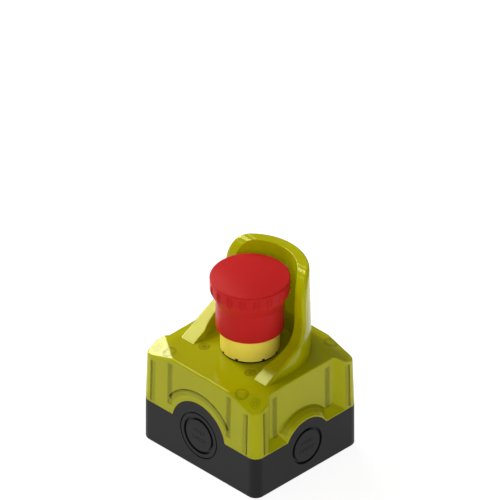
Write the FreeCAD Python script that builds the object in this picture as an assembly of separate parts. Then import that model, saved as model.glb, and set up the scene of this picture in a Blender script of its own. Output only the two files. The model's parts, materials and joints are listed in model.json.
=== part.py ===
"""Emergency stop button on a translucent surface enclosure with a guard, in millimetres.

Frame: the origin is the centre of the enclosure's underside, +Z points out of the wall,
X runs along the long sides, and the guard is open towards -Y.
"""

import FreeCAD, Part

import math
import os

V = FreeCAD.Vector
X_AXIS = V(1, 0, 0)
Y_AXIS = V(0, 1, 0)
Z_AXIS = V(0, 0, 1)

# How far a cutting solid reaches past the face that it cuts.
OVER = 1.0

# Enclosure: outside size, parting height and walls.
CASE_X = 80.0
CASE_Y = 72.0
CASE_H = 56.0
CORNER_R = 5.0
PARTING_Z = 24.0
DRAFT = 0.7
WALL = 2.5
FLOOR = 3.0
TOP = 2.6
FOOT_ROUND = 1.0
TOP_ROUND = 1.2

# Knock-outs: centre height, tongue radius, then groove radii (M25 on the long sides, M20 on all).
LONG_HOLE_Z = 20.0
LONG_ARCH_R = 18.7
SHORT_HOLE_Z = 16.0
SHORT_ARCH_R = 15.6
M25_GROOVE = (12.2, 12.9)
M20_GROOVE = (8.7, 10.3)
GROOVE_DEEP = 1.2

# Sloped corner facets of the cover: plan direction, distance from the axis, and fall.
FACET_NX = 0.567
FACET_NY = 0.824
FACET_S = 39.6
FACET_FALL = 0.551
FACET_WALL = 3.2

# Recess in each short side of the cover: (x, half width, floor height, arch radius) inside and outside.
RECESS_IN = (35.7, 22.0, 28.7, 20.6)
RECESS_OUT = (39.9, 27.0, 24.5, 16.3)
RECESS_BACK_X = 33.4
RECESS_WALL = 1.8
RECESS_ROUND = 0.8

# Fasteners of the enclosure.
COVER_SCREW_X = 29.0
COVER_SCREW_Y = 27.5
POST_R = 4.5
M3_R = 1.5
M3_HEAD_R = 2.8
M3_HEAD_H = 2.4
M3_SEAT_Z = 12.0
INSERT_X = 20.0
INSERT_Y = 29.0
INSERT_R = 2.8
INSERT_BORE_R = 1.65
INSERT_H = 6.0
INSERT_WALL = 1.4
SCREW_PLAY = 0.2
HEAD_PLAY = 0.4
SEAL_H = 0.8
SEAL_INSET = (0.8, 1.8)
COLUMN_TOP_Z = 46.0
COLUMN_NECK = (2.6, 1.5)
STUD = (3.5, -5.0, 0.5)
PILOT_TOP_Z = 41.0
COVER_SCREW_TOP_Z = 40.0
CROSS_SLOT = (1.8, 0.35, 1.2)

# Guard: plan radii, arms, and the side profile from foot to crown.
GUARD_R_FOOT = 30.6
GUARD_R_CROWN = 29.5
GUARD_IN_R = 23.4
GUARD_MID_R = 26.0
GUARD_ARM_IN = 21.0
GUARD_TOP_Z = 104.5
GUARD_TOE_Y = -18.5
GUARD_FRONT_Y = 9.7
GUARD_SLOPE = 0.54
GUARD_BLEND = 7.0
GUARD_CROWN_Z = 88.5
GUARD_CROWN_Y = 20.0
GUARD_ROUND_OUT = 1.5
GUARD_ROUND_IN = 0.4

# Operator: everything on the button's axis.
PANEL_HOLE_R = 11.15
SEAL_RING_R = 14.6
COLLAR_Z = 57.0
COLLAR_R = 14.85
COLLAR_TOP_Z = 74.0
COLLAR_NOTCH_TURN = 18.0
COLLAR_NOTCH = (1.8, 1.2, 0.9)
BODY_R = 11.0
BODY_LOW_Z = 42.5
BODY_TOP_Z = 75.5
BODY_CAP_R = 13.4
BODY_WELL_R = 9.6
SPRING_SEAT_Z = 52.0
SPRING_R = 8.0
SPRING_WIRE_R = 0.6
SPRING_TURNS = 8
NUT_Z = (48.0, 53.4)
NUT_R = 14.4
NUT_NOTCHES = 6
NUT_NOTCH = (4.4, 1.6, 3.4)
HEAD_R = 20.15
HEAD_TOP_Z = 100.0
HEAD_EDGE_Z = 98.6
HEAD_LIP = (0.65, 0.17, 0.33)
HEAD_LIP_Z = 97.7
HEAD_RIM_Z = 92.0
HEAD_NECK_Z = 84.8
HEAD_SKIRT_R = 17.15
HEAD_SKIRT_IN_R = 15.3
HEAD_SKIRT_Z = 69.5
HEAD_CEILING_Z = 82.0
HEAD_FLUTES = 18
FLUTE_Z = (86.0, 97.2)
FLUTE_R = 1.6
FLUTE_CENTRE_R = 20.6
FLUTE_START = 4.5
STEM_R = 6.0
STEM_BORE_R = 6.06
STEM_TOP_Z = 92.0
STEM_SPIGOT_R = 3.0
PUSHER_Z = (39.6, 42.2)
PUSHER_R = 12.5
STEM_SPIGOT_Z = 40.4
LATCH_Z = 46.0
LATCH_LEAF = (5.0, 7.45, 4.4, 0.5)
LATCH_SLOT = (5.0, 7.5, 4.5, 0.6)
LATCH_GROOVE = (0.7, 0.7)
TRAVEL = 5.5

# Light board under the cover's top.
LED_BOSS = 16.0
LED_BOSS_R = 2.8
LED_PILOT_R = 1.2
LED_BOARD_Z = (46.4, 48.0)
LED_BOARD_SIDE = 42.0
LED_BOARD_HOLE_R = 15.4
LED_COUNT = 8
LED_CIRCLE_R = 19.0
LED_CHIP = (3.0, 1.6)
LED_SCREW_HEAD = (2.2, 1.6)
LED_SCREW_TOP_Z = 52.5
LED_SLOT = (0.3, 0.6)

# Contact blocks, side by side along Y on the base's floor.
BLOCK_X = 46.0
BLOCK_Y = 9.8
BLOCK_TOP_Z = 33.0
BLOCK_PITCH = 10.0
BLOCKS = (("nc_1", -1, True), ("no", 0, False), ("nc_2", 1, True))
PLUNGER_TOP_Z = 39.3
PLUNGER_LOW_Z = 16.0
PLUNGER_HALF = (2.8, 1.8)
CAVITY_LOW_Z = 5.0
CAVITY_HALF = (14.0, 3.4)
CAVITY_ROOF = 3.0
PLUNGER_WAY_HALF = (3.0, 2.0)
TERMINAL_BAY_X = (15.4, 21.6)
TERMINAL_BAY_HALF = 3.2
TERMINAL_BAY_Z = 12.0
WIRE_HOLE = (1.9, 20.0, 18.0)
TERMINAL_X = 18.5
TERMINAL_PLATE_Z = 22.0
CLAMP_HALF = 2.7
TERMINAL_HEAD = (2.6, 2.4)
TERMINAL_SHANK = (1.7, 15.0)
TERMINAL_CLEAR_R = 1.75
TERMINAL_SLOT = (0.35, 1.0)
NC_PLATE_Z = 22.0
NO_PLATE_Z = 14.0
STRIP = (2.0, 1.0)
STRIP_INNER_X = (6.0, 14.8)
STRIP_OUTER_X = (13.8, 21.0)
TIP_R = 1.2
TIP_OUT = 0.6
BRIDGE_TIP_OUT = {True: 0.25, False: 0.15}
BRIDGE_Z = {True: 20.1, False: 21.5}
BRIDGE_HALF = (9.0, 1.5)
CONTACT_X = 7.5
CONTACT_SPRING = (1.9, 0.3, 6)
RIB = (1.8, 24.0, 5.0)


def block(x0, x1, y0, y1, z0, z1):
    """Box between two opposite corners."""
    return Part.makeBox(x1 - x0, y1 - y0, z1 - z0, V(x0, y0, z0))


def rod(r, z0, z1, x=0.0, y=0.0):
    """Cylinder standing along Z."""
    return Part.makeCylinder(r, z1 - z0, V(x, y, z0))


def tube(r_in, r_out, z0, z1, x=0.0, y=0.0):
    """Ring standing along Z."""
    return rod(r_out, z0, z1, x, y).cut(rod(r_in, z0, z1, x, y))


def four_corners(shape):
    """The shape and its mirror images in the other three corners."""
    left = shape.mirror(V(0, 0, 0), X_AXIS)
    return [shape, left, shape.mirror(V(0, 0, 0), Y_AXIS), left.mirror(V(0, 0, 0), Y_AXIS)]


def union(shapes):
    """One shape from several."""
    return shapes[0].multiFuse(shapes[1:]).removeSplitter()


def rounded_wire(width, depth, radius, z):
    """Rectangle with round corners, flat at height z."""
    hx = width / 2
    hy = depth / 2
    edges = []
    turns = ((hx, hy, 0), (-hx, hy, 90), (-hx, -hy, 180), (hx, -hy, 270))
    for cx, cy, start in turns:
        ax = cx - math.copysign(radius, cx)
        ay = cy - math.copysign(radius, cy)
        edges.append(Part.makeCircle(radius, V(ax, ay, z), Z_AXIS, start, start + 90))
    straight = []
    for k, arc in enumerate(edges):
        end = arc.valueAt(arc.LastParameter)
        begin = edges[(k + 1) % 4].valueAt(edges[(k + 1) % 4].FirstParameter)
        straight.extend([arc, Part.makeLine(end, begin)])
    return Part.Wire(straight)


def case_solid(inset, z0, z1):
    """The enclosure's plain outer form, set in all round: upright to the parting, then drafted."""
    width = CASE_X - 2 * inset
    depth = CASE_Y - 2 * inset
    radius = CORNER_R - inset
    lower = Part.Face(rounded_wire(width, depth, radius, z0)).extrude(V(0, 0, PARTING_Z - z0))
    lean = DRAFT * (z1 - PARTING_Z) / (CASE_H - PARTING_Z)
    foot = rounded_wire(width, depth, radius, PARTING_Z)
    head = rounded_wire(width - 2 * lean, depth - 2 * lean, radius, z1)
    return lower.fuse(Part.makeLoft([foot, head], True, True)).removeSplitter()


def above_facet(drop):
    """Everything above one corner facet, lowered by drop."""
    reach = 26.0
    back = 6.0
    points = [(FACET_S - back, CASE_H + back * FACET_FALL - drop),
              (FACET_S + reach, CASE_H - reach * FACET_FALL - drop),
              (FACET_S + reach, CASE_H + 20), (FACET_S - back, CASE_H + 20)]
    along = V(-FACET_NY, FACET_NX, 0)
    start = along * -60
    ring = [V(s * FACET_NX, s * FACET_NY, z) + start for s, z in points]
    return Part.Face(Part.makePolygon(ring + [ring[0]])).extrude(along * 120)


def recess_wire(x, half, floor_z, arch_r):
    """Outline of the short-side recess in the plane at x: a panel over an arch."""
    high = CASE_H + 5
    foot = math.sqrt(arch_r ** 2 - (floor_z - SHORT_HOLE_Z) ** 2)
    arch = Part.Arc(V(x, -foot, floor_z), V(x, 0, SHORT_HOLE_Z + arch_r), V(x, foot, floor_z))
    return Part.Wire([Part.makeLine(V(x, -half, high), V(x, -half, floor_z)),
                      Part.makeLine(V(x, -half, floor_z), V(x, -foot, floor_z)),
                      arch.toShape(),
                      Part.makeLine(V(x, foot, floor_z), V(x, half, floor_z)),
                      Part.makeLine(V(x, half, floor_z), V(x, half, high)),
                      Part.makeLine(V(x, half, high), V(x, -half, high))])


def short_recess():
    """The recess cut into the cover's +X side, wider outside than inside."""
    beyond = [b + 0.2 * (b - a) for a, b in zip(RECESS_IN, RECESS_OUT)]
    cut = Part.makeLoft([recess_wire(*RECESS_IN), recess_wire(*RECESS_OUT)], True, True)
    return cut.fuse(Part.makeLoft([recess_wire(*RECESS_OUT), recess_wire(*beyond)], True, True))


def base_region(gap):
    """All space below the parting surface, raised by gap: a slab with an arch over each knock-out."""
    half = CASE_X
    slab = block(-half, half, -half, half, -1, PARTING_Z + gap)
    long_arch = Part.makeCylinder(LONG_ARCH_R + gap, 2 * half, V(0, -half, LONG_HOLE_Z), Y_AXIS)
    short_arch = Part.makeCylinder(SHORT_ARCH_R + gap, 2 * half, V(-half, 0, SHORT_HOLE_Z), X_AXIS)
    return union([slab, long_arch, short_arch])


def groove_ring(radii, centre, axis):
    """Ring cut into an outer wall round a knock-out."""
    start = centre - axis * GROOVE_DEEP
    outer = Part.makeCylinder(radii[1], 2 * GROOVE_DEEP, start, axis)
    return outer.cut(Part.makeCylinder(radii[0], 2 * GROOVE_DEEP, start, axis))


def knockout_grooves():
    """The weakening grooves of the four knock-outs."""
    rings = []
    for side in (-1, 1):
        long_mid = V(0, side * CASE_Y / 2, LONG_HOLE_Z)
        short_mid = V(side * CASE_X / 2, 0, SHORT_HOLE_Z)
        rings.append(groove_ring(M25_GROOVE, long_mid, Y_AXIS))
        rings.append(groove_ring(M20_GROOVE, long_mid, Y_AXIS))
        rings.append(groove_ring(M20_GROOVE, short_mid, X_AXIS))
    return rings


def enclosure_base():
    """Black tray with raised tongues, corner posts, insert bosses and the ribs of the contact blocks."""
    outer = case_solid(0, 0, CASE_H)
    foot_edges = [e for e in outer.Edges if e.BoundBox.ZMax < 0.01]
    outer = outer.makeFillet(FOOT_ROUND, foot_edges)
    tray = outer.common(base_region(0)).cut(case_solid(WALL, FLOOR, CASE_H + OVER))
    posts = four_corners(rod(POST_R, FLOOR - OVER, PARTING_Z, COVER_SCREW_X, COVER_SCREW_Y))
    boss = rod(INSERT_R + INSERT_WALL, FLOOR - OVER, INSERT_H + INSERT_WALL, INSERT_X, INSERT_Y)
    bosses = four_corners(boss)
    rib = block(BLOCK_X / 2, BLOCK_X / 2 + RIB[0], -RIB[1] / 2, RIB[1] / 2,
                FLOOR - OVER, FLOOR + RIB[2])
    ribs = [rib, rib.mirror(V(0, 0, 0), X_AXIS)]
    tray = union([tray] + posts + bosses + ribs)
    screw_way = rod(M3_R + SCREW_PLAY, -OVER, PARTING_Z + OVER, COVER_SCREW_X, COVER_SCREW_Y)
    sink = rod(M3_HEAD_R + HEAD_PLAY, -OVER, M3_SEAT_Z, COVER_SCREW_X, COVER_SCREW_Y)
    pocket = rod(INSERT_R, -OVER, INSERT_H, INSERT_X, INSERT_Y)
    cuts = four_corners(screw_way) + four_corners(sink) + four_corners(pocket)
    return tray.cut(cuts + knockout_grooves())


def threaded_inserts():
    """Brass inserts in the base's underside, for the bolts that hold the station."""
    insert = tube(INSERT_BORE_R, INSERT_R, 0, INSERT_H, INSERT_X, INSERT_Y)
    return four_corners(insert)


def cover_seal():
    """Rubber cord that follows the parting surface in the cover's edge."""
    outside, inside = SEAL_INSET
    band = case_solid(outside, FLOOR, CASE_H - TOP).cut(case_solid(inside, FLOOR - OVER, CASE_H))
    return band.common(base_region(SEAL_H)).cut(base_region(0))


def is_upper_edge(edge):
    """True for an edge of the top or of a corner facet, and not for one that runs down a side."""
    box = edge.BoundBox
    return box.ZMin > PARTING_Z + OVER and max(box.XLength, box.YLength) > box.ZLength


def cover_outside():
    """Outer form of the cover, without its lower edge: drafted, with facets and side recesses."""
    form = case_solid(0, 0, CASE_H).cut(four_corners(above_facet(0)))
    form = form.makeFillet(TOP_ROUND, [e for e in form.Edges if is_upper_edge(e)])
    recess = short_recess()
    form = form.cut([recess, recess.mirror(V(0, 0, 0), X_AXIS)])
    boxes = [(e, e.BoundBox) for e in form.Edges]
    rims = [e for e, box in boxes if box.ZMin > CASE_H - 0.01 and box.XLength < 0.01 and box.YLength > OVER]
    return form.makeFillet(RECESS_ROUND, rims)


def cover_cavity():
    """Hollow of the cover."""
    hollow = case_solid(WALL, FLOOR, CASE_H - TOP).cut(four_corners(above_facet(FACET_WALL)))
    half = RECESS_OUT[1] + RECESS_WALL
    back = block(RECESS_BACK_X, CASE_X, -half, half, PARTING_Z + OVER, CASE_H)
    clear = Part.makeCylinder(SHORT_ARCH_R + RECESS_WALL, CASE_X, V(0, 0, SHORT_HOLE_Z), X_AXIS)
    back = back.cut(clear)
    return hollow.cut([back, back.mirror(V(0, 0, 0), X_AXIS)])


def enclosure_cover():
    """Translucent cover with screw columns and the bosses of the light board."""
    outside = cover_outside()
    shell = outside.cut(cover_cavity())
    under_top = CASE_H - OVER
    column = rod(POST_R, PARTING_Z, COLUMN_TOP_Z, COVER_SCREW_X, COVER_SCREW_Y)
    neck_r, neck_out = COLUMN_NECK
    neck = rod(neck_r, COLUMN_TOP_Z - OVER, under_top, COVER_SCREW_X + neck_out, COVER_SCREW_Y)
    stud_r, stud_x, stud_y = STUD
    stud = rod(stud_r, COLUMN_TOP_Z, under_top, COVER_SCREW_X + stud_x, COVER_SCREW_Y + stud_y)
    lamp = rod(LED_BOSS_R, LED_BOARD_Z[1], under_top, LED_BOSS, LED_BOSS)
    corner = []
    for piece in (column, neck, stud, lamp):
        corner.extend(four_corners(piece.common(outside)))
    shell = union([shell] + corner)
    pilot = rod(M3_R, PARTING_Z - OVER, PILOT_TOP_Z, COVER_SCREW_X, COVER_SCREW_Y)
    lamp_pilot = rod(LED_PILOT_R, LED_BOARD_Z[1] - OVER, CASE_H - TOP, LED_BOSS, LED_BOSS)
    cuts = four_corners(pilot) + four_corners(lamp_pilot)
    cuts.append(rod(PANEL_HOLE_R, CASE_H - TOP - OVER, CASE_H + OVER))
    return shell.cut(cuts + [base_region(0), cover_seal()])


def cover_screws():
    """Pan-head screws that come up through the base's corners into the cover."""
    low = M3_SEAT_Z - M3_HEAD_H
    head = rod(M3_HEAD_R, low, M3_SEAT_Z, COVER_SCREW_X, COVER_SCREW_Y)
    shank = rod(M3_R, M3_SEAT_Z - OVER, COVER_SCREW_TOP_Z, COVER_SCREW_X, COVER_SCREW_Y)
    long_half, thin_half, deep = CROSS_SLOT
    cuts = []
    for hx, hy in ((long_half, thin_half), (thin_half, long_half)):
        cuts.append(block(COVER_SCREW_X - hx, COVER_SCREW_X + hx, COVER_SCREW_Y - hy,
                          COVER_SCREW_Y + hy, low - OVER, low + deep))
    return four_corners(head.fuse(shank).cut(cuts))


def guard_plan(radius, z):
    """U outline of the guard at height z, round at the back and straight at the arms."""
    low = GUARD_TOE_Y - 20
    arc = Part.Arc(V(radius, 0, z), V(0, radius, z), V(-radius, 0, z)).toShape()
    return Part.Wire([Part.makeLine(V(radius, low, z), V(radius, 0, z)), arc,
                      Part.makeLine(V(-radius, 0, z), V(-radius, low, z)),
                      Part.makeLine(V(-radius, low, z), V(radius, low, z))])


def guard_side():
    """Side profile of the guard: toe, rising edge, upright front, curved crown."""
    corner_z = CASE_H + GUARD_SLOPE * (GUARD_FRONT_Y - GUARD_TOE_Y)
    run = math.hypot(1, GUARD_SLOPE)
    before = V(0, GUARD_FRONT_Y - GUARD_BLEND / run, corner_z - GUARD_BLEND * GUARD_SLOPE / run)
    corner = V(0, GUARD_FRONT_Y, corner_z)
    after = V(0, GUARD_FRONT_Y, corner_z + GUARD_BLEND)
    bend = Part.BezierCurve()
    bend.setPoles([before, before * 0.4 + corner * 0.6, after * 0.4 + corner * 0.6, after])
    crown_start = V(0, GUARD_FRONT_Y, GUARD_CROWN_Z)
    crown_end = V(0, GUARD_CROWN_Y, GUARD_TOP_Z)
    pull = 0.56
    crown = Part.BezierCurve()
    crown.setPoles([crown_start,
                    crown_start + V(0, 0, pull * (GUARD_TOP_Z - GUARD_CROWN_Z)),
                    crown_end - V(0, pull * (GUARD_CROWN_Y - GUARD_FRONT_Y), 0),
                    crown_end])
    toe = V(0, GUARD_TOE_Y, CASE_H)
    far = CASE_X / 2
    edges = [Part.makeLine(toe, before), bend.toShape(), Part.makeLine(after, crown_start),
             crown.toShape(), Part.makeLine(crown_end, V(0, far, GUARD_TOP_Z)),
             Part.makeLine(V(0, far, GUARD_TOP_Z), V(0, far, CASE_H)),
             Part.makeLine(V(0, far, CASE_H), toe)]
    side = Part.Face(Part.Wire(edges)).extrude(V(CASE_X, 0, 0))
    side.translate(V(-CASE_X / 2, 0, 0))
    return side


def guard_edges(form, outside):
    """Edges that run along the guard, on its outside or on its inside, and not those at its foot."""
    edges = []
    for e in form.Edges:
        box = e.BoundBox
        across = box.XLength > OVER and box.YLength < 0.1 and box.ZLength < 0.1
        upright = box.ZLength > OVER and box.XLength < 0.1 and box.YLength < 0.1 and box.YMax < GUARD_FRONT_Y / 2
        at_foot = box.ZMax < CASE_H + OVER / 2
        reach = max(math.hypot(p.x, max(p.y, 0)) for p in e.discretize(5))
        if not across and not upright and not at_foot and (reach > GUARD_MID_R) == outside:
            edges.append(e)
    return edges


def guard_hood():
    """Translucent guard round the back and sides of the button."""
    outer = Part.makeLoft([guard_plan(GUARD_R_FOOT, CASE_H),
                           guard_plan(GUARD_R_CROWN, GUARD_TOP_Z)], True, True)
    form = outer.common(guard_side())
    inner = rod(GUARD_IN_R, CASE_H - OVER, GUARD_TOP_Z + OVER)
    arms = block(-GUARD_ARM_IN, GUARD_ARM_IN, 2 * GUARD_TOE_Y, 0, CASE_H - OVER, GUARD_TOP_Z + OVER)
    form = form.cut(inner.fuse(arms))
    form = form.makeFillet(GUARD_ROUND_OUT, guard_edges(form, True))
    return form.makeFillet(GUARD_ROUND_IN, guard_edges(form, False))


def led_board():
    """Square ring board hung under the cover's top."""
    low, high = LED_BOARD_Z
    wire = rounded_wire(LED_BOARD_SIDE, LED_BOARD_SIDE, CORNER_R, low)
    board = Part.Face(wire).extrude(V(0, 0, high - low))
    cuts = [rod(LED_BOARD_HOLE_R, low - OVER, high + OVER)]
    cuts += four_corners(rod(LED_PILOT_R, low - OVER, high + OVER, LED_BOSS, LED_BOSS))
    return board.cut(cuts)


def led_chips():
    """Lamps on the board's upper face, between the bosses."""
    side, high = LED_CHIP
    low = LED_BOARD_Z[1]
    chips = []
    for k in range(LED_COUNT):
        chip = block(LED_CIRCLE_R - side / 2, LED_CIRCLE_R + side / 2, -side / 2, side / 2,
                     low, low + high)
        chip.rotate(V(0, 0, 0), Z_AXIS, 360.0 * (k + 0.5) / LED_COUNT)
        chips.append(chip)
    return chips


def led_board_screws():
    """Small screws that hold the board to its bosses."""
    head_r, head_h = LED_SCREW_HEAD
    low = LED_BOARD_Z[0] - head_h
    head = rod(head_r, low, LED_BOARD_Z[0], LED_BOSS, LED_BOSS)
    shank = rod(LED_PILOT_R, LED_BOARD_Z[0] - head_h / 2, LED_SCREW_TOP_Z, LED_BOSS, LED_BOSS)
    half, deep = LED_SLOT
    slot = block(LED_BOSS - head_r - OVER, LED_BOSS + head_r + OVER, LED_BOSS - half,
                 LED_BOSS + half, low - OVER, low + deep)
    return four_corners(head.fuse(shank).cut(slot))


def collar_seal():
    """Black washer between the collar and the cover."""
    return tube(PANEL_HOLE_R, SEAL_RING_R, CASE_H, COLLAR_Z)


def bezel_collar():
    """Yellow collar round the operator, with pairs of small notches in its foot."""
    collar = tube(BODY_R, COLLAR_R, COLLAR_Z, COLLAR_TOP_Z)
    wide, deep, high = COLLAR_NOTCH
    notches = []
    for quarter in range(4):
        for side in (-1, 1):
            notch = block(COLLAR_R - deep, COLLAR_R + OVER, -wide / 2, wide / 2,
                          COLLAR_Z - OVER, COLLAR_Z + high)
            notch.rotate(V(0, 0, 0), Z_AXIS, 90.0 * quarter + side * COLLAR_NOTCH_TURN)
            notches.append(notch)
    return collar.cut(notches)


def actuator_body():
    """Black threaded sleeve that guides the stem and carries the spring."""
    outer = rod(BODY_R, BODY_LOW_Z, BODY_TOP_Z)
    cap = rod(BODY_CAP_R, COLLAR_TOP_Z, BODY_TOP_Z)
    near, far, half, up = LATCH_SLOT
    slot = block(near, far, -half, half, LATCH_Z - up, LATCH_Z + up)
    body = outer.fuse(cap)
    body = body.cut([rod(STEM_BORE_R, BODY_LOW_Z - OVER, BODY_TOP_Z + OVER),
                     rod(BODY_WELL_R, SPRING_SEAT_Z, BODY_TOP_Z + OVER),
                     slot, slot.mirror(V(0, 0, 0), X_AXIS)])
    return body.removeSplitter()


def latch_springs():
    """Two leaf springs in the sleeve that hold the stem down once it is pressed."""
    near, far, half, up = LATCH_LEAF
    leaf = block(near, far, -half, half, LATCH_Z - up, LATCH_Z + up)
    leaf = leaf.cut(rod(STEM_R + SCREW_PLAY, LATCH_Z - OVER, LATCH_Z + OVER))
    return [leaf, leaf.mirror(V(0, 0, 0), X_AXIS)]


def fixing_nut():
    """Ring nut that clamps the sleeve to the cover from inside."""
    nut = tube(BODY_R, NUT_R, *NUT_Z)
    wide, deep, high = NUT_NOTCH
    notches = []
    for k in range(NUT_NOTCHES):
        notch = block(NUT_R - deep, NUT_R + OVER, -wide / 2, wide / 2, NUT_Z[0] - OVER, NUT_Z[0] + high)
        notch.rotate(V(0, 0, 0), Z_AXIS, 360.0 * k / NUT_NOTCHES)
        notches.append(notch)
    return nut.cut(notches)


def mushroom_head():
    """Red palm head with a fluted rim, a neck and a skirt over the collar."""
    lip_in, lip_bulge_r, lip_bulge_z = HEAD_LIP
    points = [V(HEAD_R, 0, HEAD_LIP_Z), V(HEAD_R, 0, HEAD_RIM_Z), V(HEAD_SKIRT_R, 0, HEAD_NECK_Z),
              V(HEAD_SKIRT_R, 0, HEAD_SKIRT_Z), V(HEAD_SKIRT_IN_R, 0, HEAD_SKIRT_Z),
              V(HEAD_SKIRT_IN_R, 0, HEAD_CEILING_Z), V(0, 0, HEAD_CEILING_Z),
              V(0, 0, HEAD_TOP_Z)]
    edge = V(HEAD_R - lip_in, 0, HEAD_EDGE_Z)
    half_way = V(edge.x / 2, 0, HEAD_TOP_Z - (HEAD_TOP_Z - HEAD_EDGE_Z) / 4)
    dome = Part.Arc(points[-1], half_way, edge).toShape()
    bulge = V(HEAD_R - lip_bulge_r, 0, HEAD_EDGE_Z - lip_bulge_z)
    edges = [dome, Part.Arc(edge, bulge, points[0]).toShape()]
    edges += [Part.makeLine(a, b) for a, b in zip(points, points[1:])]
    head = Part.Solid(Part.Face(Part.Wire(edges)).revolve(V(0, 0, 0), Z_AXIS, 360))
    flutes = []
    for k in range(HEAD_FLUTES):
        flute = rod(FLUTE_R, *FLUTE_Z, FLUTE_CENTRE_R)
        flute.rotate(V(0, 0, 0), Z_AXIS, FLUTE_START + 360.0 * k / HEAD_FLUTES)
        flutes.append(flute)
    return head.cut(flutes + [rod(STEM_R, HEAD_CEILING_Z - OVER, STEM_TOP_Z)])


def stem():
    """Shaft from the head down to the pusher, with a groove that the latch meets when it is pressed."""
    shaft = rod(STEM_R, PUSHER_Z[1], STEM_TOP_Z)
    spigot = rod(STEM_SPIGOT_R, STEM_SPIGOT_Z, PUSHER_Z[1])
    deep, up = LATCH_GROOVE
    groove_z = LATCH_Z + TRAVEL
    groove = tube(STEM_R - deep, STEM_R + OVER, groove_z - up, groove_z + up)
    return shaft.fuse(spigot).removeSplitter().cut(groove)


def pusher():
    """Disc on the stem's foot that presses the three plungers and stops the stem's return."""
    disc = rod(PUSHER_R, *PUSHER_Z)
    return disc.cut(rod(STEM_SPIGOT_R, STEM_SPIGOT_Z, PUSHER_Z[1] + OVER))


def coil(r_mid, wire_r, z0, z1, turns):
    """Compression spring with its wire inside z0 to z1."""
    low = z0 + wire_r
    high = z1 - wire_r
    helix = Part.makeHelix((high - low) / turns, high - low, r_mid)
    helix.translate(V(0, 0, low))
    circle = Part.makeCircle(wire_r, V(r_mid, 0, low), Y_AXIS)
    path = Part.Wire(helix.Edges)
    return path.makePipeShell([Part.Wire([circle])], True, True)


def return_spring():
    """Spring that lifts the head, from the sleeve's seat to the head's ceiling."""
    return coil(SPRING_R, SPRING_WIRE_R, SPRING_SEAT_Z, HEAD_CEILING_Z, SPRING_TURNS)


def sided(side, span):
    """Low and high X of a span, on the side of the given sign."""
    return sorted((side * span[0], side * span[1]))


def contact_housing(y, normally_closed):
    """Insulating block of one contact, open at both terminals and over the plunger."""
    hy = BLOCK_Y / 2
    hx = BLOCK_X / 2
    body = block(-hx, hx, y - hy, y + hy, FLOOR, BLOCK_TOP_Z)
    rx, ry = CAVITY_HALF
    wx, wy = PLUNGER_WAY_HALF
    roof_z = BLOCK_TOP_Z - CAVITY_ROOF
    cuts = [block(-rx, rx, y - ry, y + ry, CAVITY_LOW_Z, roof_z),
            block(-wx, wx, y - wy, y + wy, roof_z - OVER, BLOCK_TOP_Z + OVER)]
    hole_r, hole_x, hole_z = WIRE_HOLE
    for side in (-1, 1):
        x0, x1 = sided(side, TERMINAL_BAY_X)
        cuts.append(block(x0, x1, y - TERMINAL_BAY_HALF, y + TERMINAL_BAY_HALF,
                          TERMINAL_BAY_Z, BLOCK_TOP_Z + OVER))
        start = V(side * hole_x, y, hole_z)
        cuts.append(Part.makeCylinder(hole_r, hx - hole_x + OVER, start, X_AXIS * side))
    cuts += fixed_contacts(y, normally_closed)
    return body.cut(cuts)


def fixed_contacts(y, normally_closed):
    """Two fixed contact strips of one block, from the contact tip to the terminal."""
    low = NC_PLATE_Z if normally_closed else NO_PLATE_Z
    half, thick = STRIP
    strips = []
    for side in (-1, 1):
        x0, x1 = sided(side, STRIP_INNER_X)
        inner = block(x0, x1, y - half, y + half, low, low + thick)
        x0, x1 = sided(side, STRIP_OUTER_X)
        outer = block(x0, x1, y - half, y + half, TERMINAL_PLATE_Z, TERMINAL_PLATE_Z + thick)
        x0, x1 = sided(side, (STRIP_OUTER_X[0], STRIP_INNER_X[1]))
        riser = block(x0, x1, y - half, y + half, low, TERMINAL_PLATE_Z + thick)
        tip_x = side * CONTACT_X
        if normally_closed:
            tip = rod(TIP_R, low - TIP_OUT, low + thick / 2, tip_x, y)
        else:
            tip = rod(TIP_R, low + thick / 2, low + thick + TIP_OUT, tip_x, y)
        strip = union([inner, outer, riser, tip])
        hole = rod(TERMINAL_CLEAR_R, TERMINAL_PLATE_Z - OVER, TERMINAL_PLATE_Z + thick + OVER,
                   side * TERMINAL_X, y)
        strips.append(strip.cut(hole))
    return strips


def contact_bridge(y, normally_closed):
    """Moving strip that joins the two fixed contacts."""
    low = BRIDGE_Z[normally_closed]
    thick = STRIP[1]
    out = BRIDGE_TIP_OUT[normally_closed]
    hx, hy = BRIDGE_HALF
    shapes = [block(-hx, hx, y - hy, y + hy, low, low + thick)]
    for side in (-1, 1):
        if normally_closed:
            shapes.append(rod(TIP_R, low + thick / 2, low + thick + out, side * CONTACT_X, y))
        else:
            shapes.append(rod(TIP_R, low - out, low + thick / 2, side * CONTACT_X, y))
    return union(shapes)


def plunger(y, normally_closed):
    """Sliding plunger of one block, with a window for the bridge."""
    hx, hy = PLUNGER_HALF
    body = block(-hx, hx, y - hy, y + hy, PLUNGER_LOW_Z, PLUNGER_TOP_Z)
    return body.cut(contact_bridge(y, normally_closed))


def contact_spring(y):
    """Spring under a plunger."""
    r_mid, wire_r, turns = CONTACT_SPRING
    spring = coil(r_mid, wire_r, CAVITY_LOW_Z, PLUNGER_LOW_Z, turns)
    spring.translate(V(0, y, 0))
    return spring


def terminal_places():
    """Centres of the six terminals."""
    return [(x, row * BLOCK_PITCH) for _, row, _ in BLOCKS for x in (-TERMINAL_X, TERMINAL_X)]


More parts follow.
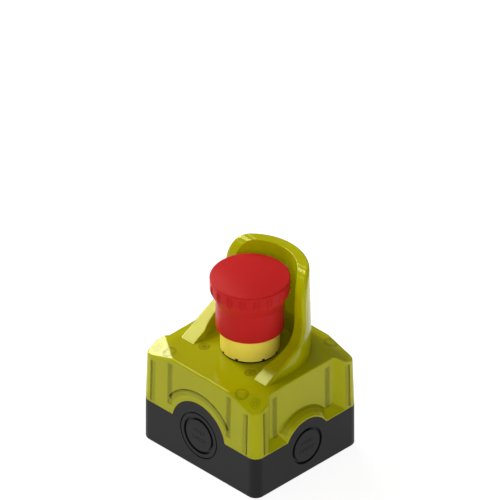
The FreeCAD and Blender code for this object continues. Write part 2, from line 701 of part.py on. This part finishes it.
def terminal_clamps():
    """Square clamp plates under the terminal screws."""
    low = TERMINAL_PLATE_Z + STRIP[1]
    high = low + STRIP[1]
    plates = []
    for x, y in terminal_places():
        plate = block(x - CLAMP_HALF, x + CLAMP_HALF, y - CLAMP_HALF, y + CLAMP_HALF, low, high)
        plates.append(plate.cut(rod(TERMINAL_CLEAR_R, low - OVER, high + OVER, x, y)))
    return plates


def terminal_screws():
    """Slotted terminal screws, two for each block."""
    seat = TERMINAL_PLATE_Z + 2 * STRIP[1]
    head_r, head_h = TERMINAL_HEAD
    shank_r, shank_low = TERMINAL_SHANK
    half, deep = TERMINAL_SLOT
    top = seat + head_h
    screws = []
    for x, y in terminal_places():
        screw = rod(head_r, seat, top, x, y).fuse(rod(shank_r, shank_low, seat + OVER, x, y))
        slot = block(x - head_r - OVER, x + head_r + OVER, y - half, y + half, top - deep, top + OVER)
        screws.append(screw.cut(slot))
    return screws


def save(name, shape):
    """Write one node, after making sure that every solid in it is closed and valid."""
    if isinstance(shape, list):
        shape = Part.makeCompound(shape)
    if not shape.isValid() or not shape.Solids or min(s.Volume for s in shape.Solids) <= 0:
        raise ValueError("bad solid: " + name)
    shape = shape.Solids[0] if len(shape.Solids) == 1 else Part.makeCompound(shape.Solids)
    shape.exportStep("parts/" + name + ".step")
    print(name, len(shape.Solids), round(shape.Volume, 1))


def main():
    """Build every node."""
    os.makedirs("parts", exist_ok=True)
    for make in (enclosure_base, threaded_inserts, cover_seal, enclosure_cover, cover_screws,
                 guard_hood, led_board, led_chips, led_board_screws, collar_seal, bezel_collar,
                 actuator_body, latch_springs, fixing_nut, mushroom_head, stem, pusher,
                 return_spring, terminal_clamps, terminal_screws):
        save(make.__name__, make())
    for label, row, normally_closed in BLOCKS:
        y = row * BLOCK_PITCH
        save("contact_housing_" + label, contact_housing(y, normally_closed))
        save("fixed_contacts_" + label, fixed_contacts(y, normally_closed))
        save("contact_bridge_" + label, contact_bridge(y, normally_closed))
        save("plunger_" + label, plunger(y, normally_closed))
        save("contact_spring_" + label, contact_spring(y))


main()
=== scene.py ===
"""Looks of the emergency stop button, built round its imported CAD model. All lengths are in metres."""

import json
import math

import bmesh
import bpy
from mathutils import Matrix, Vector


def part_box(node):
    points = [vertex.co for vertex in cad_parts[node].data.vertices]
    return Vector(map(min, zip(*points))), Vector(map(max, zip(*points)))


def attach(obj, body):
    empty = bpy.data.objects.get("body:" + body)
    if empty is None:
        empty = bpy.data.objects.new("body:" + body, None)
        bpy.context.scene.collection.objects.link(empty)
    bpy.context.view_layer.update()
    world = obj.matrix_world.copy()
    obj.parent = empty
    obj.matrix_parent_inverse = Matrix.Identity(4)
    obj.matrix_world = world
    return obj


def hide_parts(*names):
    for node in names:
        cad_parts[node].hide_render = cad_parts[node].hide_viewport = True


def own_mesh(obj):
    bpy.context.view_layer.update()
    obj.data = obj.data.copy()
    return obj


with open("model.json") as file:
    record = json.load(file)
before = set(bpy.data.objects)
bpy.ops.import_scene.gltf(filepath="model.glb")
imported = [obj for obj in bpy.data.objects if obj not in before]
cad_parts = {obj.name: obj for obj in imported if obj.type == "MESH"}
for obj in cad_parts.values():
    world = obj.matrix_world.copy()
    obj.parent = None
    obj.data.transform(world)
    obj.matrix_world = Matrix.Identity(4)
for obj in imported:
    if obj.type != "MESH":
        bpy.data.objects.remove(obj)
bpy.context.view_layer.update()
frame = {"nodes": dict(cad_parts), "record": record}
MM = 0.001

# Places read from the frame.
base_low, base_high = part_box("enclosure_base")
head_low, head_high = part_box("mushroom_head")
stem_low, stem_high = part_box("stem")


# ---------------------------------------------------------------- camera, light and floor

VIEW_BACK = Vector((1, -1, 1)).normalized()
VIEW_WIDTH = 0.2475
VIEW_TARGET = Vector((0, 0, 0.1145))
VIEW_DISTANCE = 0.8
OBJECT_MIDDLE = Vector((0, 0, 0.06))


def make_camera():
    """Isometric camera with parallel projection, over the corner between the +X and -Y sides."""
    data = bpy.data.cameras.new("camera")
    data.type = "ORTHO"
    data.ortho_scale = VIEW_WIDTH
    data.clip_start = 0.01
    data.clip_end = 10
    camera = bpy.data.objects.new("camera", data)
    camera.location = VIEW_TARGET + VIEW_BACK * VIEW_DISTANCE
    camera.rotation_euler = VIEW_BACK.to_track_quat("Z", "Y").to_euler()
    bpy.context.scene.collection.objects.link(camera)
    bpy.context.scene.camera = camera


def area_light(name, direction, distance, size, power, along):
    """Rectangular softbox that faces the object, seen in a direction, with its long side along a vector."""
    data = bpy.data.lights.new(name, "AREA")
    data.shape = "RECTANGLE"
    data.size, data.size_y = size
    data.energy = power
    light = bpy.data.objects.new(name, data)
    back = Vector(direction).normalized()
    side = (Vector(along) - back * back.dot(Vector(along))).normalized()
    up = back.cross(side)
    light.rotation_euler = Matrix((side, up, back)).transposed().to_euler()
    light.location = OBJECT_MIDDLE + back * distance
    bpy.context.scene.collection.objects.link(light)


def make_surround(strength):
    """Even pale surround."""
    world = bpy.data.worlds.new("surround")
    world.use_nodes = True
    sky = world.node_tree.nodes["Background"]
    sky.inputs["Color"].default_value = (1, 1, 1, 1)
    sky.inputs["Strength"].default_value = strength
    bpy.context.scene.world = world


def make_floor(half, glow):
    """Pale floor that glows a little, so that it stays white under soft light."""
    data = bpy.data.meshes.new("floor")
    corners = [(-half, -half, 0), (half, -half, 0), (half, half, 0), (-half, half, 0)]
    data.from_pydata(corners, [], [(0, 1, 2, 3)])
    floor = bpy.data.objects.new("floor", data)
    bpy.context.scene.collection.objects.link(floor)
    mat = bpy.data.materials.new("floor_white")
    mat.use_nodes = True
    shader = mat.node_tree.nodes["Principled BSDF"]
    shader.inputs["Base Color"].default_value = (0.35, 0.35, 0.35, 1)
    shader.inputs["Roughness"].default_value = 0.9
    shader.inputs["Emission Color"].default_value = (1, 1, 1, 1)
    shader.inputs["Emission Strength"].default_value = glow
    data.materials.append(mat)


def make_studio():
    """Softboxes, a white floor and a dim even surround."""
    bpy.context.scene.view_settings.view_transform = "Standard"
    make_surround(strength=0.20)
    # Mirrored by the flat facet and arm faces on the left.
    area_light("strip", direction=(-0.766, -0.026, 0.643), distance=0.9, size=(0.66, 0.26), power=7.6,
               along=(0.316, -0.285, 0.365))
    # Mirrored by the front left of the dome.
    area_light("panel", direction=(-0.66, 0.39, 0.64), distance=0.9, size=(0.62, 0.13), power=1.1,
               along=(-0.65, 0.20, -0.73))
    # Lights both near sides softly.
    area_light("fill", direction=(0.60, -0.55, 0.46), distance=1.2, size=(1.1, 1.1), power=6.0,
               along=(0, 0, 1))
    # Mirrored by the rounded upper edge of the near long side.
    area_light("edge", direction=(-0.577, -0.577, 0.577), distance=0.9, size=(0.5, 0.06), power=0.35,
               along=(1, -1, 0))
    make_floor(half=4.0, glow=0.84)


# ---------------------------------------------------------------- materials

class Nodes:
    """Small helper that adds and links shader nodes of one material."""

    def __init__(self, name):
        self.mat = bpy.data.materials.new(name)
        self.mat.use_nodes = True
        self.tree = self.mat.node_tree
        self.tree.nodes.clear()
        self.shader = self.add("ShaderNodeBsdfPrincipled")
        self.out = self.add("ShaderNodeOutputMaterial")
        self.link(self.shader.outputs[0], self.out.inputs["Surface"])
        self.place = self.add("ShaderNodeTexCoord").outputs["Object"]

    def add(self, kind, **settings):
        node = self.tree.nodes.new(kind)
        for key, value in settings.items():
            if hasattr(node, key):
                setattr(node, key, value)
            else:
                node.inputs[key.replace("_", " ").title()].default_value = value
        return node

    def link(self, out, socket):
        self.tree.links.new(out, socket)

    def noise(self, size, detail=3.0, rough=0.5):
        """Noise whose features are about size metres across."""
        node = self.add("ShaderNodeTexNoise", scale=1 / size, detail=detail, roughness=rough)
        self.link(self.place, node.inputs["Vector"])
        return node.outputs["Fac"]

    def spread(self, value, low, high):
        """A 0 to 1 value turned into low to high, over the noise's middle range."""
        node = self.add("ShaderNodeMapRange")
        node.inputs["From Min"].default_value = 0.3
        node.inputs["From Max"].default_value = 0.7
        node.inputs["To Min"].default_value = low
        node.inputs["To Max"].default_value = high
        self.link(value, node.inputs["Value"])
        return node.outputs["Result"]

    def tint(self, factor, low, high):
        """Colour between low and high."""
        node = self.add("ShaderNodeMix", data_type="RGBA")
        for socket in node.inputs:
            if socket.name == "A" and socket.type == "RGBA":
                socket.default_value = (*low, 1)
            if socket.name == "B" and socket.type == "RGBA":
                socket.default_value = (*high, 1)
        self.link(factor, node.inputs["Factor"])
        return next(s for s in node.outputs if s.type == "RGBA")

    def bump(self, height, depth):
        """Bump from a height, with its greatest depth in metres."""
        node = self.add("ShaderNodeBump")
        node.inputs["Strength"].default_value = 1.0
        node.inputs["Distance"].default_value = depth
        self.link(height, node.inputs["Height"])
        self.link(node.outputs["Normal"], self.shader.inputs["Normal"])


def scaled(colour, k):
    """Colour times k, at most 1 in any channel."""
    return tuple(min(1.0, c * k) for c in colour)


def moulded(name, colour, rough, vary=0.05, shine=0.3, grain=0.5 * MM, depth=0.004 * MM):
    """Moulded plastic or rubber: faint flow marks in the colour, fine grain in the surface."""
    made = Nodes(name)
    flow = made.spread(made.noise(14 * MM, 2), 0, 1)
    colour_out = made.tint(flow, scaled(colour, 1 - vary), scaled(colour, 1 + vary))
    made.link(colour_out, made.shader.inputs["Base Color"])
    grainy = made.noise(grain, 4, 0.6)
    made.link(made.spread(grainy, rough * 0.88, rough * 1.12), made.shader.inputs["Roughness"])
    made.bump(grainy, depth)
    made.shader.inputs["Specular IOR Level"].default_value = shine
    return made.mat


def metal(name, colour, rough, grain=0.25 * MM):
    """Plated or turned metal with fine scratches."""
    made = Nodes(name)
    stretch = made.add("ShaderNodeMapping")
    stretch.inputs["Scale"].default_value = (1, 1, 6)
    made.link(made.place, stretch.inputs["Vector"])
    made.place = stretch.outputs["Vector"]
    lines = made.noise(grain, 3)
    colour_out = made.tint(lines, scaled(colour, 0.85), scaled(colour, 1.1))
    made.link(colour_out, made.shader.inputs["Base Color"])
    made.link(made.spread(lines, rough * 0.7, rough * 1.3), made.shader.inputs["Roughness"])
    made.bump(lines, 0.004 * MM)
    made.shader.inputs["Metallic"].default_value = 1.0
    return made.mat


def tinted(made, colour, level):
    """Reflections that take on the plastic's own colour."""
    made.shader.inputs["Specular Tint"].default_value = (*colour, 1)
    made.shader.inputs["Specular IOR Level"].default_value = level


def see_through(made, share, colour=(1, 1, 1)):
    """Lets a share of what is behind show through, in the plastic's colour."""
    clear = made.add("ShaderNodeBsdfTransparent")
    clear.inputs["Color"].default_value = (*colour, 1)
    mix = made.add("ShaderNodeMixShader")
    mix.inputs[0].default_value = share
    made.link(made.shader.outputs[0], mix.inputs[1])
    made.link(clear.outputs[0], mix.inputs[2])
    made.link(mix.outputs[0], made.out.inputs["Surface"])


def painted_inner_shade_film():
    """Painted shade: a dim olive tone standing in for the shade of the shapes inside the cover, most of it
    clear.
    """
    made = Nodes("lime_painted_inner_shade")
    flow = made.spread(made.noise(6 * MM, 2), 0, 1)
    # Painted shade: dark olive colour for the inner shapes seen through the cover.
    made.link(made.tint(flow, (0.10, 0.10, 0.001), (0.14, 0.135, 0.001)), made.shader.inputs["Base Color"])
    made.shader.inputs["Roughness"].default_value = 0.3
    tinted(made, (1.0, 1.0, 0.42), 0.3)
    see_through(made, 0.925)
    return made.mat


def lime_plastic():
    """Translucent yellow-green cover plastic, glossy."""
    lime = (0.425, 0.415, 0.0004)
    made = Nodes("translucent_lime")
    flow = made.spread(made.noise(22 * MM, 2), 0, 1)
    colour_out = made.tint(flow, scaled(lime, 0.96), scaled(lime, 1.04))
    made.link(colour_out, made.shader.inputs["Base Color"])
    grainy = made.noise(3 * MM, 3)
    made.link(made.spread(grainy, 0.10, 0.16), made.shader.inputs["Roughness"])
    made.bump(grainy, 0.003 * MM)
    tinted(made, (1.0, 1.0, 0.33), 0.38)
    see_through(made, 0.24, (0.92, 0.90, 0.02))
    return made.mat


def red_plastic():
    """Satin red plastic, whose reflections are red too."""
    mat = moulded("red_cap", (0.49, 0.017, 0.0165), 0.22, vary=0.02, shine=0.35, grain=4 * MM,
                  depth=0.0015 * MM)
    shader = mat.node_tree.nodes["Principled BSDF"]
    shader.inputs["Specular Tint"].default_value = (1, 0.35, 0.30, 1)
    shader.inputs["IOR"].default_value = 1.18
    return mat


def make_materials():
    """Every material, by the record's slot name."""
    return {
        "black_shell": moulded("black_shell", (0.0085, 0.0085, 0.0087), 0.42, shine=0.15),
        "translucent_lime": lime_plastic(),
        "red_cap": red_plastic(),
        "yellow_collar": moulded("yellow_collar", (0.97, 0.79, 0.10), 0.45, vary=0.03, shine=0.2),
        "seal_rubber": moulded("seal_rubber", (0.008, 0.008, 0.008), 0.75),
        "grey_core": moulded("grey_core", (0.45, 0.45, 0.46), 0.5),
        "block_housing": moulded("block_housing", (0.62, 0.62, 0.58), 0.5),
        "plunger_red": moulded("plunger_red", (0.40, 0.02, 0.015), 0.4),
        "plunger_green": moulded("plunger_green", (0.02, 0.22, 0.05), 0.4),
        "board_laminate": moulded("board_laminate", (0.74, 0.74, 0.70), 0.35),
        "led_lens": moulded("led_lens", (0.78, 0.74, 0.45), 0.2),
        "screw_steel": metal("screw_steel", (0.55, 0.55, 0.57), 0.3),
        "spring_steel": metal("spring_steel", (0.45, 0.45, 0.46), 0.35),
        "brass": metal("brass", (0.75, 0.52, 0.20), 0.3),
    }


def dress_cad_nodes(materials):
    """Gives every CAD node the material of its slot."""
    for row in frame["record"]["subparts"]:
        node = frame["nodes"][row["node"]]
        node.data.materials.clear()
        node.data.materials.append(materials[row["material_slot"]])


# ---------------------------------------------------------------- pieces

def add_mesh(name, verts, faces, smooth=True):
    """New mesh piece, with its faces turned outwards."""
    data = bpy.data.meshes.new(name)
    data.from_pydata(verts, [], faces)
    mesh = bmesh.new()
    mesh.from_mesh(data)
    bmesh.ops.recalc_face_normals(mesh, faces=mesh.faces)
    mesh.to_mesh(data)
    mesh.free()
    if smooth:
        data.shade_smooth()
    piece = bpy.data.objects.new(name, data)
    bpy.context.scene.collection.objects.link(piece)
    return piece


def settle(piece, node, body, replaces=True, material=None):
    """Gives a piece the material slot of a CAD node and a body to ride on, and may replace that node."""
    slot = next(row["material_slot"] for row in frame["record"]["subparts"] if row["node"] == node)
    piece.data.materials.append(material or slots[slot])
    if replaces:
        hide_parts(node)
    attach(piece, body)


def arc_points(centre, radius, start, end, count):
    """Points of an arc in the radius and height plane, angles in degrees."""
    points = []
    for k in range(count + 1):
        turn = math.radians(start + (end - start) * k / count)
        points.append((centre[0] + radius * math.cos(turn), centre[1] + radius * math.sin(turn)))
    return points


def line_points(start, end, step):
    """Points along a straight line, without its start."""
    count = max(1, round(math.dist(start, end) / step))
    return [(start[0] + (end[0] - start[0]) * k / count, start[1] + (end[1] - start[1]) * k / count)
            for k in range(1, count + 1)]


HEAD_R = (head_high[0] - head_low[0]) / 2
HEAD_TOP = head_high[2]
HEAD_FOOT = head_low[2]
SKIRT_R = 17.15 * MM
SKIRT_IN_R = 15.3 * MM
CEILING = 82.0 * MM
NECK = 84.8 * MM
RIM_FOOT = 92.0 * MM
DOME_RISE = 1.4 * MM
LIP = 0.9 * MM
NECK_ROUND = 2.2 * MM
FOOT_ROUND = 0.35 * MM
FLUTES = 18
FLUTE_START = 4.5
FLUTE_R = 1.6 * MM
FLUTE_CENTRE_R = 20.6 * MM
FLUTE_TOP = 97.2 * MM
FLUTE_RUN_OUT = 0.7 * MM
FLUTE_EASE = 0.35 * MM
FLUTE_MARGIN = 0.3 * MM
HEAD_COLUMNS = 20 * FLUTES
STEM_R = (stem_high[0] - stem_low[0]) / 2
SHARP_ANGLE = math.radians(38)


def head_profile():
    """Outline of the head from the middle of its top round to the stem's bore."""
    dome_r = (HEAD_R ** 2 + DOME_RISE ** 2) / (2 * DOME_RISE)
    spread = math.degrees(math.asin((HEAD_R - LIP) / dome_r))
    points = arc_points((0, HEAD_TOP - dome_r), dome_r, 90, 90 - spread, 14)
    lip_z = points[-1][1] - LIP
    points += arc_points((HEAD_R - LIP, lip_z), LIP, 84 - spread, 0, 6)
    points += line_points(points[-1], (HEAD_R, RIM_FOOT + 0.3 * MM), 0.3 * MM)
    slope = math.atan2(RIM_FOOT - NECK, HEAD_R - SKIRT_R)
    tangent = NECK_ROUND * math.tan((math.pi / 2 - slope) / 2)
    near = (SKIRT_R + tangent * math.cos(slope), NECK + tangent * math.sin(slope))
    points += line_points((HEAD_R - 0.12 * MM, RIM_FOOT - 0.28 * MM), near, 0.35 * MM)
    centre = (SKIRT_R + NECK_ROUND, NECK - tangent)
    points += arc_points(centre, NECK_ROUND, 180 - (90 - math.degrees(slope)), 180, 5)
    points += line_points(points[-1], (SKIRT_R, HEAD_FOOT + FOOT_ROUND), 1.5 * MM)
    points += arc_points((SKIRT_R - FOOT_ROUND, HEAD_FOOT + FOOT_ROUND), FOOT_ROUND, 0, -90, 4)[1:]
    points += [(SKIRT_IN_R, HEAD_FOOT), (SKIRT_IN_R, CEILING), (STEM_R, CEILING), (STEM_R, stem_high[2])]
    return points


def fluted(radius, height, turn):
    """Radius after the finger grooves are cut, at an angle in degrees."""
    pitch = 360 / FLUTES
    off = math.radians((turn - FLUTE_START + pitch / 2) % pitch - pitch / 2)
    shift = max(0.0, height - FLUTE_TOP + FLUTE_RUN_OUT) ** 2 / FLUTE_EASE
    across = (FLUTE_CENTRE_R + shift) * math.sin(off)
    if radius < SKIRT_R + FLUTE_MARGIN or abs(across) >= FLUTE_R:
        return radius
    floor = (FLUTE_CENTRE_R + shift) * math.cos(off) - math.sqrt(FLUTE_R ** 2 - across ** 2)
    return min(radius, floor)


def make_head():
    """Red palm head: shallow dome, round lip, finger grooves that run out over the neck, and skirt."""
    profile = head_profile()
    verts = [(0, 0, profile[0][1])]
    for radius, height in profile[1:]:
        for k in range(HEAD_COLUMNS):
            turn = 360 * k / HEAD_COLUMNS
            r = fluted(radius, height, turn)
            verts.append((r * math.cos(math.radians(turn)), r * math.sin(math.radians(turn)), height))
    verts.append((0, 0, profile[-1][1]))
    faces = []
    rows = len(profile) - 1
    for k in range(HEAD_COLUMNS):
        after = (k + 1) % HEAD_COLUMNS
        faces.append((0, 1 + k, 1 + after))
        for row in range(rows - 1):
            low = 1 + row * HEAD_COLUMNS
            high = low + HEAD_COLUMNS
            faces.append((low + k, high + k, high + after, low + after))
        last = 1 + (rows - 1) * HEAD_COLUMNS
        faces.append((last + k, len(verts) - 1, last + after))
    head = add_mesh("head_palm", verts, faces)
    head.data.set_sharp_from_angle(angle=SHARP_ANGLE)
    settle(head, "mushroom_head", "button")


def helix(name, node, body, middle, radius, wire, low, high, turns, ends=0.9):
    """Compression spring: a round wire whose end turns lie close and flat."""
    steps = 28 * turns
    sides = 10
    rise = high - low - 2 * wire
    verts = []
    for k in range(steps + 1):
        t = k / steps
        free = min(max((t * turns - ends) / (turns - 2 * ends), 0.0), 1.0)
        closed = 2 * wire * (min(t * turns, ends) + max(0.0, t * turns - turns + ends))
        z = low + wire + closed + (rise - 4 * wire * ends) * free
        turn = 2 * math.pi * turns * t
        for j in range(sides):
            around = 2 * math.pi * j / sides
            r = radius + wire * math.cos(around)
            verts.append((middle[0] + r * math.cos(turn), middle[1] + r * math.sin(turn),
                          z + wire * math.sin(around)))
    faces = [tuple(range(sides)), tuple(range(steps * sides, (steps + 1) * sides))]
    for k in range(steps):
        for j in range(sides):
            a = k * sides + j
            b = k * sides + (j + 1) % sides
            faces.append((a, b, b + sides, a + sides))
    spring = add_mesh(name, verts, faces)
    settle(spring, node, body)
    return spring


RETURN_WIRE = 0.6 * MM
RETURN_TURNS = 8
CONTACT_WIRE = 0.3 * MM
CONTACT_TURNS = 6


def make_springs():
    """The return spring and the three contact springs, as fixed meshes; on the real button they shorten
    with the travel.
    """
    rows = [("return_coil", "return_spring", "head_press", RETURN_WIRE, RETURN_TURNS)]
    for label in ("nc_1", "no", "nc_2"):
        rows.append(("contact_coil_" + label, "contact_spring_" + label, "plunger_" + label + "_slide",
                     CONTACT_WIRE, CONTACT_TURNS))
    for name, node, joint, wire, turns in rows:
        low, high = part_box(node)
        middle = ((low[0] + high[0]) / 2, (low[1] + high[1]) / 2)
        radius = (high[0] - low[0]) / 2 - wire
        spring = helix(name, node, "station", middle, radius, wire, low[2], high[2], turns)
        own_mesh(spring)


LONG_HOLE_Z = 20 * MM
SHORT_HOLE_Z = 16 * MM
MARK_RELIEF = 0.16 * MM
MARK_ROOT = 0.1 * MM
MARK_PITCH = 2.0 * MM
MARK_HALF = (0.62 * MM, 1.25 * MM)
MARK_TAPER = 0.72
MARK_ROWS = ((1.9 * MM, 4), (-2.4 * MM, 5))
BOX_FACES = ((0, 1, 2, 3), (4, 5, 6, 7), (0, 1, 5, 4), (1, 2, 6, 5), (2, 3, 7, 6), (3, 0, 4, 7))


def add_mark(verts, faces, place, side, across):
    """Adds one small tapered bar that stands on a wall and faces to one side."""
    start = len(verts)
    for out, grow in ((-MARK_ROOT, 1.0), (MARK_RELIEF, MARK_TAPER)):
        for sx, sz in ((-1, -1), (1, -1), (1, 1), (-1, 1)):
            corner = across * (sx * MARK_HALF[0] * grow) + Vector((0, 0, sz * MARK_HALF[1] * grow))
            verts.append(place + side * out + corner)
    for face in BOX_FACES:
        faces.append(tuple(start + v for v in face))


def make_marks():
    """Two rows of small raised bars on each knock-out, in place of any lettering."""
    verts = []
    faces = []
    for side in (Vector((0, -1, 0)), Vector((0, 1, 0)), Vector((1, 0, 0)), Vector((-1, 0, 0))):
        across = Vector((0, 0, 1)).cross(side)
        height = LONG_HOLE_Z if side.y else SHORT_HOLE_Z
        wall = base_high[1] if side.y else base_high[0]
        for up, count in MARK_ROWS:
            for k in range(count):
                x = (k - (count - 1) / 2) * MARK_PITCH
                place = side * wall + across * x + Vector((0, 0, height + up))
                add_mark(verts, faces, place, side, across)
    marks = add_mesh("knockout_marks", verts, faces, smooth=False)
    settle(marks, "enclosure_base", "station", replaces=False)


# Painted shade: the shade of the shapes inside the cover is drawn as thin dark bands on its outside, the
# wide soft ones under the narrow ones.
BAND_GAP = 0.02 * MM
BAND_THICK = 0.02 * MM
BAND_STEP = 0.035 * MM
BOSS_AT = (16.0 * MM, 16.0 * MM)
COLUMN_AT = (25.3 * MM, 31.0 * MM)
STUD_AT = (34.0 * MM, 30.3 * MM)
# Radius and width of each ring.
BOSS_RINGS = ((1.5 * MM, 3.0 * MM), (2.5 * MM, 0.6 * MM), (0.7 * MM, 1.3 * MM))
COLUMN_RINGS = ((2.7 * MM, 1.6 * MM), (3.3 * MM, 0.4 * MM))
STUD_RINGS = ((1.1 * MM, 1.0 * MM), (2.4 * MM, 0.6 * MM))
# Place across the wall, lower end and upper end.
LONG_RIB = (20.5 * MM, 29 * MM, 53 * MM)
LONG_EDGE = (33.7 * MM, 25 * MM, 49 * MM)
SHORT_RIB = (18.4 * MM, 28 * MM, 52 * MM)
SHORT_EDGE = (30.1 * MM, 25 * MM, 50 * MM)
RIB_WIDTHS = (3.8 * MM, 2.4 * MM)
# Distance from the edge itself and width.
EDGE_BANDS = ((-1.5 * MM, 3.4 * MM), (-0.5 * MM, 1.4 * MM), (0.0, 0.4 * MM))
# Radius, and the angles where the arch starts and ends.
LONG_ARCH = (24.9 * MM, 33, 147)
SHORT_ARCH = (20.4 * MM, 41, 139)
LOOK_FROM = 60 * MM
LOOK_FROM_ABOVE = 80 * MM
X_AXIS = Vector((1, 0, 0))
Y_AXIS = Vector((0, 1, 0))
Z_AXIS = Vector((0, 0, 1))


def lay_band(verts, faces, path, inward, width, layer):
    """Adds a thin band along a path of points, laid on the cover's outside by looking inward."""
    cover = frame["nodes"]["enclosure_cover"]
    rows = []
    for point in path:
        hit, place, normal, _ = cover.ray_cast(point, inward)
        if hit:
            rows.append((place, normal))
    start = len(verts)
    last = len(rows) - 1
    low = BAND_GAP + layer * BAND_STEP
    for k, (place, normal) in enumerate(rows):
        ahead = rows[min(k + 1, last)][0] - rows[max(k - 1, 0)][0]
        side = ahead.cross(normal).normalized() * (width / 2)
        for across, out in ((-1, low), (1, low), (1, low + BAND_THICK), (-1, low + BAND_THICK)):
            verts.append(place + side * across + normal * out)
    for k in range(last):
        for j in range(4):
            row = start + 4 * k
            faces.append((row + j, row + (j + 1) % 4, row + 4 + (j + 1) % 4, row + 4 + j))
    faces.append(tuple(start + j for j in range(4)))
    faces.append(tuple(start + 4 * last + j for j in range(4)))


def round_path(centre, radius, across, up, start=0, end=360, count=48):
    """Points of an arc about a centre, in the plane of two directions."""
    turns = [math.radians(start + (end - start) * k / count) for k in range(count + 1)]
    return [centre + across * (radius * math.cos(t)) + up * (radius * math.sin(t)) for t in turns]


def upright_path(foot, low, high, count=12):
    """Points of an upright line over a foot."""
    return [foot + Z_AXIS * (low + (high - low) * k / count) for k in range(count + 1)]


def wall_bands(rib, edge):
    """A rib's and a column edge's painted shade bands on one wall: place across it, lower end, upper end,
    width.
    """
    bands = [(*rib, width) for width in RIB_WIDTHS]
    bands += [(edge[0] + off, edge[1], edge[2], width) for off, width in EDGE_BANDS]
    return bands


def lay_corner(verts, faces, sx, sy):
    """Adds the painted shade rings over one corner of the cover, and the painted shade bands of the ribs
    and column edges beside it.
    """
    rings = [(*BOSS_AT, *ring) for ring in BOSS_RINGS]
    rings += [(*COLUMN_AT, *ring) for ring in COLUMN_RINGS]
    rings += [(*STUD_AT, *ring) for ring in STUD_RINGS]
    for layer, (x, y, radius, width) in enumerate(rings):
        path = round_path(Vector((sx * x, sy * y, LOOK_FROM_ABOVE)), radius, X_AXIS, Y_AXIS)
        lay_band(verts, faces, path, -Z_AXIS, width, layer)
    for layer, (x, low, high, width) in enumerate(wall_bands(LONG_RIB, LONG_EDGE)):
        path = upright_path(Vector((sx * x, sy * LOOK_FROM, 0)), low, high)
        lay_band(verts, faces, path, -sy * Y_AXIS, width, layer)
    for layer, (y, low, high, width) in enumerate(wall_bands(SHORT_RIB, SHORT_EDGE)):
        path = upright_path(Vector((sx * LOOK_FROM, sy * y, 0)), low, high)
        lay_band(verts, faces, path, -sx * X_AXIS, width, layer)


def make_painted_inner_shade():
    """Painted shade: dim outlines of the bosses, columns, ribs and arches inside the translucent cover,
    drawn as dark bands on its outside.
    """
    verts = []
    faces = []
    for sx in (-1, 1):
        for sy in (-1, 1):
            lay_corner(verts, faces, sx, sy)
    walls = ((Y_AXIS, X_AXIS, LONG_HOLE_Z, LONG_ARCH), (X_AXIS, Y_AXIS, SHORT_HOLE_Z, SHORT_ARCH))
    for sign in (-1, 1):
        for out, across, height, (radius, start, end) in walls:
            centre = out * (sign * LOOK_FROM) + Z_AXIS * height
            for layer, (off, width) in enumerate(EDGE_BANDS):
                path = round_path(centre, radius + off, across, Z_AXIS, start, end)
                lay_band(verts, faces, path, -sign * out, width, layer)
    # Painted shade: the dark bands laid on the cover's outside.
    shapes = add_mesh("cover_painted_inner_shade", verts, faces, smooth=False)
    settle(shapes, "enclosure_cover", "station", replaces=False, material=painted_inner_shade_film())


# ---------------------------------------------------------------- build

make_camera()
make_studio()
slots = make_materials()
dress_cad_nodes(slots)
make_head()
make_springs()
make_marks()
make_painted_inner_shade()
